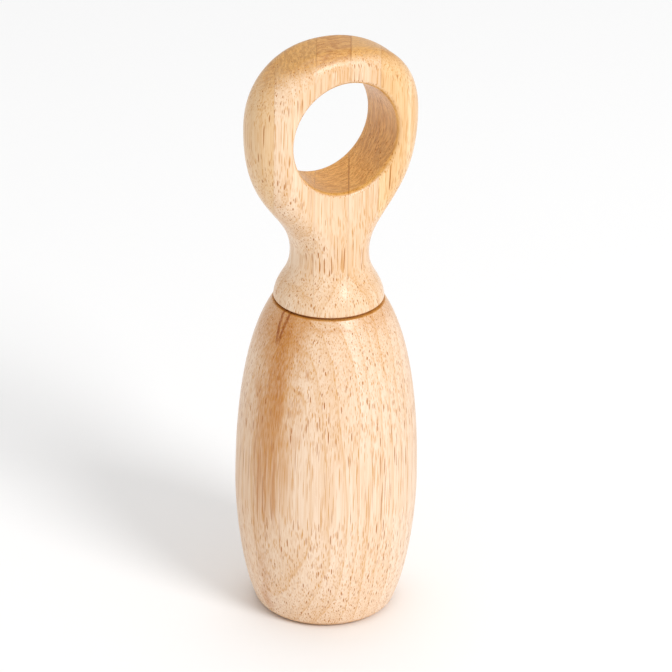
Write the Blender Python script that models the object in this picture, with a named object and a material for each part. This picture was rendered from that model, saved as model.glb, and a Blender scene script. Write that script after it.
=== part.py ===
# A wooden muddler: a barrel-shaped head, and a ring handle that screws onto it.
# Run it in Blender 4.5. Lengths are metres, +Z is up and the foot rests on z = 0.
import math

import bmesh
import bpy
from mathutils import Matrix, Vector
from mathutils.geometry import interpolate_bezier

mm = 0.001

# Head: a turned block, widest at the belly
headHeight = 116.7 * mm
bellyRadius = 31.75 * mm
bellyHeight = 47.4 * mm
footRadius = 23.4 * mm  # where the side would meet the floor
footRounding = 4.5 * mm
footLean = math.radians(28.5)  # how far the side leans out at the foot
shoulderRadius = 19.3 * mm  # at the top face
shoulderLean = math.radians(33)
shoulderRounding = 0.5 * mm
footPull = 13.7 * mm  # how far each end of a curve holds its direction
bellyPullDown = 9.0 * mm
bellyPullUp = 36.3 * mm
shoulderPull = 13.5 * mm

# Seam washer between the two wooden parts
washerThickness = 0.5 * mm
washerRecess = 0.9 * mm  # its rim sits this far inside the collar
washerBore = 9.6 * mm
seatGap = 0.1 * mm  # between flat faces that rest on each other

# Handle: collar, neck and ring
collarRadius = 19.0 * mm
collarRounding = 0.7 * mm
collarPull = 7.0 * mm
collarLean = math.radians(6)
neckRadius = 13.49 * mm
neckRise = 17.3 * mm  # from the collar's underside to the narrowest place
neckPullDown = 8.5 * mm
neckPullUp = 16.4 * mm
ringRise = 64.59 * mm  # from the collar's underside to the ring's centre
ringRadius = 31.37 * mm
ringPull = 31.1 * mm
ringThickness = 23.65 * mm
rimFlat = 0.6 * mm  # left between the two roundings of the rim at the ring's sides
crownRise = 27.56 * mm  # from the ring's widest level to its top
crownRounding = 6.5 * mm  # of the rim at the top
crownFullness = 2.21  # 2 gives an ellipse, and more gives squarer shoulders
faceRise = 40.0 * mm  # from the collar's underside to where the ring's faces are flat
holeRadius = 19.5 * mm
holeDrop = 2.7 * mm  # the hole's centre is this far under the ring's
holeRounding = 1.9 * mm
holeFlare = math.radians(75)  # the hole's edge is rounded this far, then runs out straight

# Glue planes of the blank, measured across it from its middle
glueAngle = math.radians(28)  # the blank's planes are turned this far from the ring's faces
glueLeft = -18.7 * mm
glueMidLeft = -5.2 * mm
glueMidRight = 6.2 * mm
glueRight = 16.2 * mm
glueGap = 0.3 * mm
cheekRise = 23.0 * mm  # the outer staves start this far above the collar's underside

# Hanger bolt: machine thread below, wood thread above
boltRadius = 4.0 * mm
boltPitch = 1.25 * mm
boltRoot = 3.3 * mm
boltEngaged = 12.5 * mm
woodPitch = 3.0 * mm
woodRoot = 2.7 * mm
woodLength = 21.0 * mm
shankLength = 3.5 * mm
tipLength = 5.0 * mm
shankChamfer = 0.4 * mm
endChamfer = 0.6 * mm
threadGap = 0.15 * mm  # round the bolt, in the handle and in the insert

# Threaded insert in the head
insertRadius = 7.5 * mm  # over its outer thread
insertRoot = 6.4 * mm
insertPitch = 3.0 * mm
insertLength = 14.0 * mm
flangeRadius = 9.2 * mm
flangeThickness = 1.4 * mm
insertGap = 0.3 * mm  # round the insert, in the head
mouthDepth = 0.3 * mm  # plain mouth at each end of the insert's thread
mouthGap = 0.45 * mm
pilotDepth = 3.0 * mm  # bored below the insert
pilotGap = 0.6 * mm

# Thread ridges: width at the root and at the crest, in pitches
machineRidge = (0.68, 0.14)
woodRidge = (0.42, 0.1)
insertRidge = (0.5, 0.1)

roundSteps = 48
sectionSteps = 9  # for each quarter of a section of the handle
outlineSteps = 12
threadSteps = 14  # for each turn

handleBottom = headHeight + washerThickness + 2 * seatGap
sideRounding = (ringThickness - rimFlat) / 2
ringCentre = Vector((0, 0, ringRise))
holeCentre = Vector((0, 0, ringRise - holeDrop))
cutOver = 5 * mm  # how far a cutter runs past what it cuts
weldReach = 0.003 * mm
ridgeSunk = 0.4 * mm  # how far a thread's ridge goes into its core


def clearScene():
    for thing in list(bpy.data.objects):
        bpy.data.objects.remove(thing)
    for group in list(bpy.data.collections):
        bpy.data.collections.remove(group)


def newCollection(name, hidden=False):
    group = bpy.data.collections.new(name)
    group.hide_render = hidden
    bpy.context.scene.collection.children.link(group)
    return group


def newObject(name, mesh, group, height=0.0, parent=None):
    thing = bpy.data.objects.new(name, mesh)
    thing.location.z = height
    thing.parent = parent
    group.objects.link(thing)
    return thing


def meshFrom(bm, name):
    bmesh.ops.recalc_face_normals(bm, faces=bm.faces)
    mesh = bpy.data.meshes.new(name)
    bm.to_mesh(mesh)
    bm.free()
    return mesh


def curvePoints(start, startPull, startLean, end, endPull, endLean, steps):
    """Points (radius, height) of a curve that holds a lean at each end."""
    startHandle = start + startPull * Vector((-math.sin(startLean), math.cos(startLean)))
    endHandle = end - endPull * Vector((-math.sin(endLean), math.cos(endLean)))
    return interpolate_bezier(start, startHandle, endHandle, end, steps)


def arcPoints(centre, radius, fromAngle, toAngle, steps):
    turn = (toAngle - fromAngle) / steps
    angles = [fromAngle + turn * i for i in range(steps + 1)]
    return [centre + radius * Vector((math.cos(a), math.sin(a))) for a in angles]


def revolved(name, outline, steps=roundSteps):
    """A solid of revolution about Z from (radius, height) points, top to bottom."""
    bm = bmesh.new()
    points = [bm.verts.new((p[0], 0, p[1])) for p in outline]
    edges = [bm.edges.new(pair) for pair in zip(points, points[1:])]
    bmesh.ops.spin(
        bm,
        geom=points + edges,
        axis=(0, 0, 1),
        angle=math.tau,
        steps=steps,
        use_merge=True,
    )
    bmesh.ops.remove_doubles(bm, verts=bm.verts, dist=0.001 * mm)
    return meshFrom(bm, name)


def modelled(thing):
    """The object's mesh with its modifiers applied, and points that all but meet made one."""
    bpy.context.view_layer.update()
    graph = bpy.context.evaluated_depsgraph_get()
    mesh = bpy.data.meshes.new_from_object(thing.evaluated_get(graph))
    bm = bmesh.new()
    bm.from_mesh(mesh)
    bmesh.ops.remove_doubles(bm, verts=bm.verts, dist=weldReach)
    bmesh.ops.dissolve_degenerate(bm, edges=bm.edges, dist=weldReach)
    bm.to_mesh(mesh)
    bm.free()
    thing.modifiers.clear()
    thing.data = mesh
    return mesh


def boolean(thing, other, operation):
    step = thing.modifiers.new(other.name, "BOOLEAN")
    step.operation = operation
    step.solver = "EXACT"
    step.object = other
    return step


def cutterObject(name, mesh, height=0.0, parent=None):
    cutter = newObject(name, mesh, cutters, height, parent)
    cutter.hide_render = True
    cutter.display_type = "WIRE"
    return cutter


def threadRidge(name, root, crest, pitch, turns, base, flat):
    """A helical ridge up from z = 0, base wide at the root and flat wide at the crest."""
    half = [(root - ridgeSunk, base / 2), (root - ridgeSunk / 8, base / 2), (crest, flat / 2)]
    outline = half + [(r, -z) for r, z in reversed(half)]
    bm = bmesh.new()
    verts = [bm.verts.new((r, 0, z)) for r, z in outline]
    face = bm.faces.new(verts)
    steps = round(turns * threadSteps)
    bmesh.ops.spin(
        bm,
        geom=verts + list(face.edges) + [face],
        axis=(0, 0, 1),
        dvec=(0, 0, pitch / threadSteps),
        angle=turns * math.tau,
        steps=steps,
    )
    return meshFrom(bm, name)


def threaded(name, outline, ridges, grow=0.0):
    """A revolved core with helical ridges joined on. grow makes it a cutter with a gap."""
    core = cutterObject(name, revolved(name, outline, threadSteps))
    for i, (height, root, crest, pitch, turns, base, flat) in enumerate(ridges):
        ridge = cutterObject(
            f"{name}_ridge_{i}",
            threadRidge(name, root, crest + grow, pitch, turns, base + 2 * grow, flat + 2 * grow),
            height,
        )
        boolean(core, ridge, "UNION")
    return modelled(core)


def finish(thing, colour, roughness, metallic=0.0, sharp=math.radians(35)):
    material = bpy.data.materials.new(thing.name)
    material.use_nodes = True
    shader = material.node_tree.nodes["Principled BSDF"]
    shader.inputs["Base Color"].default_value = (*colour, 1)
    shader.inputs["Roughness"].default_value = roughness
    shader.inputs["Metallic"].default_value = metallic
    thing.data.materials.clear()
    thing.data.materials.append(material)
    thing.data.shade_smooth()
    thing.data.set_sharp_from_angle(angle=sharp)


# Head

def headOutline():
    """(radius, height) down the outside of the head, from the axis to the axis."""
    belly = Vector((bellyRadius, bellyHeight))
    top = Vector((shoulderRadius, headHeight))
    foot = Vector((footRadius, 0))
    upper = curvePoints(belly, bellyPullUp, 0, top, shoulderPull, shoulderLean, outlineSteps)
    lower = curvePoints(foot, footPull, -footLean, belly, bellyPullDown, 0, outlineSteps)
    side = list(reversed(upper)) + list(reversed(lower))[1:]
    return [Vector((0, headHeight))] + side + [Vector((0, 0))]


def roundCorner(outline, corner, radius, steps):
    """The outline with one corner rounded off."""
    before, at, after = outline[corner - 1 : corner + 2]
    toBefore = (before - at).normalized()
    toAfter = (after - at).normalized()
    half = toBefore.angle(toAfter) / 2
    reach = radius / math.tan(half)
    # points already inside the rounding are passed over
    lead = [p for p in outline[:corner] if (p - at).length > reach]
    trail = [p for p in outline[corner + 1 :] if (p - at).length > reach]
    centre = at + (toBefore + toAfter).normalized() * radius / math.sin(half)
    start = at + toBefore * reach - centre
    end = at + toAfter * reach - centre
    turn = start.angle_signed(end)
    arc = [centre + Matrix.Rotation(-turn * i / steps, 2) @ start for i in range(steps + 1)]
    return lead + arc + trail


def insertOutline(grow=0.0):
    """(radius, height) of the insert's core below the head's top face."""
    flangeTop = cutOver if grow else -seatGap
    return [
        (0, flangeTop),
        (flangeRadius + grow, flangeTop),
        (flangeRadius + grow, -seatGap - flangeThickness - grow),
        (insertRoot + grow, -seatGap - flangeThickness - grow),
        (insertRoot + grow, -seatGap - insertLength - grow),
        (0, -seatGap - insertLength - grow),
    ]


def insertThread():
    turns = (insertLength - flangeThickness - insertPitch * 0.9) / insertPitch
    return (
        -seatGap - insertLength + insertPitch / 3,
        insertRoot,
        insertRadius,
        insertPitch,
        turns,
        insertRidge[0] * insertPitch,
        insertRidge[1] * insertPitch,
    )


def makeHead():
    outline = headOutline()
    outline = roundCorner(outline, len(outline) - 2, footRounding, 6)
    outline = roundCorner(outline, 1, shoulderRounding, 3)
    head = newObject("barrel_head", revolved("barrel_head", outline), parts)
    socket = cutterObject(
        "insert_socket",
        threaded("insert_socket_core", insertOutline(insertGap), [insertThread()], insertGap),
        headHeight,
    )
    pilotRadius = boltRadius + pilotGap
    pilotTop = headHeight - insertLength + cutOver
    pilotBottom = headHeight - seatGap - insertLength - pilotDepth
    pilot = cutterObject(
        "pilot_bore",
        revolved(
            "pilot_bore",
            [(0, pilotTop), (pilotRadius, pilotTop), (pilotRadius, pilotBottom), (0, pilotBottom)],
            threadSteps * 2,
        ),
    )
    boolean(head, socket, "DIFFERENCE")
    boolean(head, pilot, "DIFFERENCE")
    modelled(head)
    finish(head, (0.83, 0.60, 0.37), 0.36)
    return head


# Hardware

def boltThreads():
    machineTurns = (boltEngaged - 0.9 * boltPitch) / boltPitch
    woodTurns = (woodLength - 1.2 * woodPitch) / woodPitch
    machine = (
        -boltEngaged + boltPitch / 2,
        boltRoot,
        boltRadius,
        boltPitch,
        machineTurns,
        machineRidge[0] * boltPitch,
        machineRidge[1] * boltPitch,
    )
    wood = (
        shankLength + woodPitch / 2,
        woodRoot,
        boltRadius,
        woodPitch,
        woodTurns,
        woodRidge[0] * woodPitch,
        woodRidge[1] * woodPitch,
    )
    return machine, wood


def boltOutline():
    """(radius, height) of the bolt's core, measured from the collar's underside."""
    tipStart = shankLength + woodLength
    return [
        (0, tipStart + tipLength),
        (woodRoot, tipStart),
        (woodRoot, shankLength),
        (boltRadius, shankLength - shankChamfer),
        (boltRadius, shankChamfer),
        (boltRoot, 0),
        (boltRoot, -boltEngaged),
        (boltRoot - endChamfer, -boltEngaged - endChamfer),
        (0, -boltEngaged - endChamfer),
    ]


def boltSocketOutline():
    tipStart = shankLength + woodLength
    lean = tipLength * threadGap / woodRoot
    return [
        (0, tipStart + tipLength + lean * 2),
        (woodRoot + threadGap, tipStart + lean),
        (woodRoot + threadGap, shankLength + threadGap),
        (boltRadius + threadGap, shankLength - shankChamfer + threadGap),
        (boltRadius + threadGap, -cutOver),
        (0, -cutOver),
    ]


def makeHardware():
    machine, wood = boltThreads()
    mesh = threaded("hanger_bolt_core", boltOutline(), [machine, wood])
    bolt = newObject("hanger_bolt", mesh, parts, parent=handleAxis)
    finish(bolt, (0.62, 0.62, 0.64), 0.3, 1.0)

    insert = newObject(
        "threaded_insert",
        threaded("insert_core", insertOutline(), [insertThread()]),
        parts,
        headHeight,
    )
    # the tap's thread lines up with the bolt's when the collar is down
    top = -seatGap
    bottom = -seatGap - insertLength
    below = handleBottom - headHeight - boltEngaged + boltPitch / 2
    start = below - math.ceil((below - bottom) / boltPitch + 2) * boltPitch
    turns = math.ceil((top - start) / boltPitch + 2)
    mouth = boltRadius + mouthGap
    bore = boltRoot + threadGap
    core = [
        (0, top + cutOver),
        (mouth, top + cutOver),
        (mouth, top - mouthDepth),
        (bore, top - mouthDepth - mouth + bore),
        (bore, bottom + mouthDepth + mouth - bore),
        (mouth, bottom + mouthDepth),
        (mouth, bottom - cutOver),
        (0, bottom - cutOver),
    ]
    base, flat = [share * boltPitch for share in machineRidge]
    ridge = (start, boltRoot, boltRadius, boltPitch, turns, base, flat)
    tap = cutterObject("bolt_tap", threaded("bolt_tap_core", core, [ridge], threadGap), headHeight)
    boolean(insert, tap, "DIFFERENCE")
    modelled(insert)
    finish(insert, (0.72, 0.55, 0.25), 0.35, 1.0)
    return bolt, insert


def makeWasher():
    outer = collarRadius - washerRecess
    outline = [
        (outer, washerThickness),
        (outer, 0),
        (washerBore, 0),
        (washerBore, washerThickness),
        (outer, washerThickness),
    ]
    washer = newObject(
        "seam_washer", revolved("seam_washer", outline), parts, headHeight + seatGap
    )
    finish(washer, (0.05, 0.03, 0.02), 0.7)
    return washer


# Handle blank, measured from the collar's underside

def handleOutline():
    """(half width, height) of the handle seen from the front, up to the ring's centre."""
    corner = arcPoints(
        Vector((collarRadius - collarRounding, collarRounding)),
        collarRounding,
        -math.pi / 2,
        0,
        3,
    )
    neck = Vector((neckRadius, neckRise))
    ring = Vector((ringRadius, ringRise))
    flare = curvePoints(
        corner[-1], collarPull, collarLean, neck, neckPullDown, 0, outlineSteps - 2
    )
    shoulder = curvePoints(neck, neckPullUp, 0, ring, ringPull, 0, outlineSteps + 4)
    return corner + flare[1:] + shoulder[1:]


def smoothStep(value, low, high):
    share = min(max((value - low) / (high - low), 0), 1)
    return share * share * (3 - 2 * share)


def sectionLoop(bm, halfWidth, height):
    """One level ring of points: a circle up to the neck, a rounded slab at the ring."""
    flat = smoothStep(height, neckRise, faceRise)
    halfDepth = min(halfWidth, neckRadius) if height > neckRise else halfWidth
    halfDepth += (ringThickness / 2 - halfDepth) * flat
    corner = min(halfWidth, halfDepth)
    corner += (sideRounding - corner) * flat
    loop = []
    for quarter, (sx, sy) in enumerate(((1, -1), (1, 1), (-1, 1), (-1, -1))):
        for i in range(sectionSteps):
            angle = math.pi / 2 * (i + 0.5) / sectionSteps
            across, deep = (math.sin(angle), math.cos(angle))
            if quarter % 2:
                across, deep = deep, across
            x = sx * (halfWidth - corner + corner * across)
            y = sy * (halfDepth - corner + corner * deep)
            loop.append(bm.verts.new((x, y, height)))
    return loop, [bm.edges.new((loop[i - 1], loop[i])) for i in range(len(loop))]


def rimInset(depth, rounding):
    """How far the rim draws in at a distance from the ring's middle plane."""
    over = max(abs(depth) - (ringThickness / 2 - rounding), 0)
    return rounding - math.sqrt(max(rounding**2 - over**2, 0))


def shapeCrown(bm):
    """Gives the spun half ring its squarer shoulders and the tighter rounding on top."""
    for vert in bm.verts:
        out = Vector((vert.co.x, vert.co.z - ringRise))
        if out.y < weldReach:
            continue
        reach = out.length
        across = abs(out.x) / reach
        rise = out.y / reach
        rounding = sideRounding + (crownRounding - sideRounding) * rise**2
        if reach > ringRadius - sideRounding:
            reach += rimInset(vert.co.y, sideRounding) - rimInset(vert.co.y, rounding)
        lift = rise * ringRadius / crownRise
        fullness = (across**crownFullness + lift**crownFullness) ** (-1 / crownFullness)
        place = out.normalized() * reach * fullness
        vert.co.x = place.x
        vert.co.z = ringRise + place.y


def makeBlank():
    """The whole handle without its hole: level sections, then half a ring spun over them."""
    bm = bmesh.new()
    sections = [sectionLoop(bm, x, z) for x, z in handleOutline()]
    for (_, below), (_, above) in zip(sections, sections[1:]):
        bmesh.ops.bridge_loops(bm, edges=below + above)
    bmesh.ops.edgeloop_fill(bm, edges=sections[0][1])
    topVerts, topEdges = sections[-1]
    rightVerts = [v for v in topVerts if v.co.x > 0]
    rightEdges = [e for e in topEdges if all(v.co.x > 0 for v in e.verts)]
    spun = bmesh.ops.duplicate(bm, geom=rightVerts + rightEdges)["geom"]
    bmesh.ops.spin(
        bm,
        geom=spun,
        cent=ringCentre,
        axis=(0, -1, 0),
        angle=math.pi,
        steps=sectionSteps * 2 + 8,
    )
    bmesh.ops.remove_doubles(bm, verts=bm.verts, dist=0.01 * mm)
    shapeCrown(bm)
    bmesh.ops.holes_fill(bm, edges=[e for e in bm.edges if e.is_boundary], sides=0)
    return meshFrom(bm, "handle_blank")


def makeHoleCutter():
    """A plug along Y that flares at each face, so that it leaves rounded edges."""
    depth = ringThickness / 2
    centre = Vector((holeRadius + holeRounding, depth - holeRounding))
    arc = arcPoints(centre, -holeRounding, 0, -holeFlare, 5)
    reach = Vector((cutOver * math.tan(holeFlare), cutOver))
    outer = arc + [arc[-1] + reach]
    side = [(x, y) for x, y in reversed(outer)] + [(x, -y) for x, y in outer]
    outline = [(0, side[0][1])] + side + [(0, side[-1][1])]
    mesh = revolved("finger_hole", outline, roundSteps)
    mesh.transform(Matrix.Translation(holeCentre) @ Matrix.Rotation(math.pi / 2, 4, "X"))
    return cutterObject("finger_hole", mesh)


def staveCutter(name, outline):
    """A slab of the blank: its (across, height) outline, run through front to back."""
    bm = bmesh.new()
    deep = ringRadius * 2
    face = bm.faces.new([bm.verts.new((u, -deep, z)) for u, z in outline])
    swept = bmesh.ops.extrude_face_region(bm, geom=[face])["geom"]
    verts = [v for v in swept if isinstance(v, bmesh.types.BMVert)]
    bmesh.ops.translate(bm, verts=verts, vec=(0, 2 * deep, 0))
    mesh = meshFrom(bm, name)
    mesh.transform(Matrix.Rotation(-glueAngle, 4, "Z"))
    return cutterObject(name, mesh, parent=handleAxis)


def staveOutlines():
    """Each stave's (across, height) corners. The outer two are cheeks on the ring only."""
    gap = glueGap / 2
    wide = ringRadius * 2
    low, high = -cutOver, ringRise + crownRise + cutOver
    middle = holeCentre.z
    step = cheekRise
    return {
        "stave_outer_left": [
            (-wide, step + gap),
            (glueLeft - gap, step + gap),
            (glueLeft - gap, high),
            (-wide, high),
        ],
        "stave_inner_left": [
            (-wide, low),
            (glueMidLeft - gap, low),
            (glueMidLeft - gap, high),
            (glueLeft + gap, high),
            (glueLeft + gap, step - gap),
            (-wide, step - gap),
        ],
        "stave_centre": [
            (glueMidLeft + gap, low),
            (glueMidRight - gap, low),
            (glueMidRight - gap, middle),
            (glueMidLeft + gap, middle),
        ],
        "stave_crown": [
            (glueMidLeft + gap, middle),
            (glueMidRight - gap, middle),
            (glueMidRight - gap, high),
            (glueMidLeft + gap, high),
        ],
        "stave_inner_right": [
            (glueMidRight + gap, low),
            (wide, low),
            (wide, step - gap),
            (glueRight - gap, step - gap),
            (glueRight - gap, high),
            (glueMidRight + gap, high),
        ],
        "stave_outer_right": [
            (glueRight + gap, step + gap),
            (wide, step + gap),
            (wide, high),
            (glueRight + gap, high),
        ],
    }


def makeHandle():
    blank = cutterObject("handle_blank", makeBlank())
    socketMesh = threaded(
        "bolt_socket_core", boltSocketOutline(), [boltThreads()[1]], threadGap
    )
    boolean(blank, makeHoleCutter(), "DIFFERENCE")
    boolean(blank, cutterObject("bolt_socket", socketMesh), "DIFFERENCE")
    shaped = modelled(blank)
    colours = {
        "stave_outer_left": (0.80, 0.55, 0.32),
        "stave_inner_left": (0.80, 0.55, 0.31),
        "stave_centre": (0.76, 0.48, 0.24),
        "stave_crown": (0.70, 0.40, 0.17),
        "stave_inner_right": (0.82, 0.58, 0.34),
        "stave_outer_right": (0.83, 0.59, 0.36),
    }
    for name, outline in staveOutlines().items():
        stave = newObject(name, shaped.copy(), parts, parent=handleAxis)
        boolean(stave, staveCutter(f"{name}_slab", outline), "INTERSECT")
        modelled(stave)
        finish(stave, colours[name], 0.36)


clearScene()
parts = newCollection("muddler")
cutters = newCollection("cutters", hidden=True)
handleAxis = newObject("handle_axis", None, parts, handleBottom)
makeHead()
makeHardware()
makeWasher()
makeHandle()
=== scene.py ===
import math

import bmesh
import bpy
from mathutils import Matrix, Vector
from mathutils.geometry import interpolate_bezier


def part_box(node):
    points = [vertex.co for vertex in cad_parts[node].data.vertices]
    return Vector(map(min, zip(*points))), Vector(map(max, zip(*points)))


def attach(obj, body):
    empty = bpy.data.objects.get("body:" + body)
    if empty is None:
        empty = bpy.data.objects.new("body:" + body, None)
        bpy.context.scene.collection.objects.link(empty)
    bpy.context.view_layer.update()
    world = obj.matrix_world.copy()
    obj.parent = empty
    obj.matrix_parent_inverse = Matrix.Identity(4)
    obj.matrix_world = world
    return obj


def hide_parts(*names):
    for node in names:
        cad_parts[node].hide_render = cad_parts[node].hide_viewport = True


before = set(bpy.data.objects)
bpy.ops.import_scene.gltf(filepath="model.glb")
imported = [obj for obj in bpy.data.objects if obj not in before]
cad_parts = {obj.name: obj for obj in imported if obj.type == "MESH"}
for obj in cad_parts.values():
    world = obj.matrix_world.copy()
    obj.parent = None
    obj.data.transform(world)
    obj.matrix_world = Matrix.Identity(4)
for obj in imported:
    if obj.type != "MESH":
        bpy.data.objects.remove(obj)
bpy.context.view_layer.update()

mm = 0.001
roundSteps = 192


# Placing and cutting

def meshOf(bm, name):
    bmesh.ops.remove_doubles(bm, verts=bm.verts, dist=0.0005 * mm)
    bmesh.ops.recalc_face_normals(bm, faces=bm.faces)
    mesh = bpy.data.meshes.new(name)
    bm.to_mesh(mesh)
    bm.free()
    return mesh


def newPiece(name, mesh, sharp=30):
    piece = bpy.data.objects.new(name, mesh)
    bpy.context.scene.collection.objects.link(piece)
    mesh.shade_smooth()
    mesh.set_sharp_from_angle(angle=math.radians(sharp))
    return piece


def finishPiece(piece, material, body, node):
    piece.data.materials.clear()
    piece.data.materials.append(material)
    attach(piece, body)
    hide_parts(node)
    return piece


def softCurve(start, startPull, startLean, end, endPull, endLean, steps):
    # points (radius, height) of a curve that holds a lean at each end
    startHandle = start + startPull * Vector((-math.sin(startLean), math.cos(startLean)))
    endHandle = end - endPull * Vector((-math.sin(endLean), math.cos(endLean)))
    return interpolate_bezier(start, startHandle, endHandle, end, steps)


def turned(name, outline, steps=roundSteps):
    # a lathe-turned shape from (radius, height) points
    bm = bmesh.new()
    points = [bm.verts.new((p[0], 0, p[1])) for p in outline]
    edges = [bm.edges.new(pair) for pair in zip(points, points[1:])]
    bmesh.ops.spin(bm, geom=points + edges, axis=(0, 0, 1), angle=math.tau,
                   steps=steps, use_merge=True)
    return meshOf(bm, name)


def screwThread(name, root, crest, pitch, bottom, top, base, flat, steps=36):
    # one pitch of profile swept up a helix, then cut level at both ends and closed
    bm = bmesh.new()
    start = bottom - 1.5 * pitch
    profile = [(root, 0), (root, (pitch - base) / 2), (crest, (pitch - flat) / 2),
               (crest, (pitch + flat) / 2), (root, (pitch + base) / 2), (root, pitch)]
    points = [bm.verts.new((r, 0, start + z)) for r, z in profile]
    edges = [bm.edges.new(pair) for pair in zip(points, points[1:])]
    turns = math.ceil((top - bottom) / pitch) + 3
    bmesh.ops.spin(bm, geom=points + edges, axis=(0, 0, 1), angle=turns * math.tau,
                   dvec=(0, 0, pitch / steps), steps=turns * steps)
    bmesh.ops.remove_doubles(bm, verts=bm.verts, dist=0.002 * mm)
    for height, up in ((bottom, False), (top, True)):
        geom = list(bm.verts) + list(bm.edges) + list(bm.faces)
        cut = bmesh.ops.bisect_plane(bm, geom=geom, plane_co=(0, 0, height),
                                     plane_no=(0, 0, 1), clear_outer=up, clear_inner=not up)
        rim = [e for e in cut["geom_cut"] if isinstance(e, bmesh.types.BMEdge)]
        bmesh.ops.holes_fill(bm, edges=rim, sides=0)
    return meshOf(bm, name)


def combine(piece, other, operation):
    # joins or cuts with another object, which is then dropped
    step = piece.modifiers.new(operation, "BOOLEAN")
    step.operation, step.solver, step.object = operation, "EXACT", other
    bpy.context.view_layer.update()
    graph = bpy.context.evaluated_depsgraph_get()
    mesh = bpy.data.meshes.new_from_object(piece.evaluated_get(graph))
    piece.modifiers.clear()
    piece.data = mesh
    bpy.data.objects.remove(other)
    return piece


# Node helpers

def addNode(tree, kind, values=None, **settings):
    made = tree.nodes.new("ShaderNode" + kind)
    for key, value in settings.items():
        setattr(made, key, value)
    for key, value in (values or {}).items():
        if isinstance(value, bpy.types.NodeSocket):
            tree.links.new(value, made.inputs[key])
        else:
            made.inputs[key].default_value = value
    return made


def calc(tree, operation, first, second=0.0, clamp=False):
    return addNode(tree, "Math", {0: first, 1: second}, operation=operation,
                   use_clamp=clamp).outputs[0]


def vectorCalc(tree, operation, first, second=(0, 0, 0)):
    made = addNode(tree, "VectorMath", {0: first, 1: second}, operation=operation)
    return made.outputs["Value" if operation in ("DOT_PRODUCT", "LENGTH") else "Vector"]


def ramp(tree, value, low, high, toLow=0.0, toHigh=1.0):
    values = {"Value": value, "From Min": low, "From Max": high,
              "To Min": toLow, "To Max": toHigh}
    return addNode(tree, "MapRange", values, interpolation_type="SMOOTHSTEP").outputs[0]


def blendColour(tree, share, first, second, mode="MIX"):
    made = addNode(tree, "Mix", data_type="RGBA", blend_type=mode, clamp_factor=True)
    for key, value in ((0, share), (6, first), (7, second)):
        if isinstance(value, bpy.types.NodeSocket):
            tree.links.new(value, made.inputs[key])
        else:
            made.inputs[key].default_value = (*value, 1) if key else value
    return made.outputs[2]


def newGroup(name, inputs, outputs):
    group = bpy.data.node_groups.new(name, "ShaderNodeTree")
    for label, kind, value in inputs:
        socket = group.interface.new_socket(label, in_out="INPUT", socket_type=kind)
        if value is not None:
            socket.default_value = value
    for label in outputs:
        group.interface.new_socket(label, in_out="OUTPUT", socket_type="NodeSocketFloat")
    taken = group.nodes.new("NodeGroupInput").outputs
    given = group.nodes.new("NodeGroupOutput").inputs
    return group, taken, given


def useGroup(tree, group, values):
    made = tree.nodes.new("ShaderNodeGroup")
    made.node_tree = group
    for key, value in values.items():
        if isinstance(value, bpy.types.NodeSocket):
            tree.links.new(value, made.inputs[key])
        else:
            made.inputs[key].default_value = value
    return made.outputs


number, vector = "NodeSocketFloat", "NodeSocketVector"


def makePoreGroup():
    # vessels: long narrow cells along Z, dashes on a side face and dots on end grain
    group, taken, given = newGroup("Wood Pores", [
        ("Vector", vector, None), ("Across mm", number, 0.9), ("Along mm", number, 22.0),
        ("Radius", number, 0.16), ("Wander mm", number, 0.5)], ["Mask", "Depth"])
    bend = addNode(group, "TexNoise", {"Vector": vectorCalc(group, "MULTIPLY", taken["Vector"],
                                                         (180, 180, 28)),
                                    "Scale": 1.0, "Detail": 1.0})
    bend = vectorCalc(group, "SUBTRACT", bend.outputs["Color"], (0.5, 0.5, 0.5))
    wander = calc(group, "MULTIPLY", taken["Wander mm"], 2 * mm)
    sway = addNode(group, "VectorMath", {0: bend, "Scale": wander}, operation="SCALE")
    place = vectorCalc(group, "ADD", taken["Vector"], sway.outputs["Vector"])
    across = calc(group, "DIVIDE", 1 / mm, taken["Across mm"])
    along = calc(group, "DIVIDE", 1 / mm, taken["Along mm"])
    scale = addNode(group, "CombineXYZ", {"X": across, "Y": across, "Z": along})
    cells = addNode(group, "TexVoronoi", {
        "Vector": vectorCalc(group, "MULTIPLY", place, scale.outputs[0]), "Scale": 1.0},
        voronoi_dimensions="3D", feature="F1")
    chance = addNode(group, "SeparateColor", {0: cells.outputs["Color"]})
    size = ramp(group, chance.outputs[0], 0.0, 1.0, 0.55, 1.2)
    radius = calc(group, "MULTIPLY", size, taken["Radius"])
    inner = calc(group, "MULTIPLY", radius, 0.6)
    group.links.new(ramp(group, cells.outputs["Distance"], radius, inner), given["Mask"])
    group.links.new(ramp(group, chance.outputs[1], 0.0, 1.0, 0.4, 1.0), given["Depth"])
    return group


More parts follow.
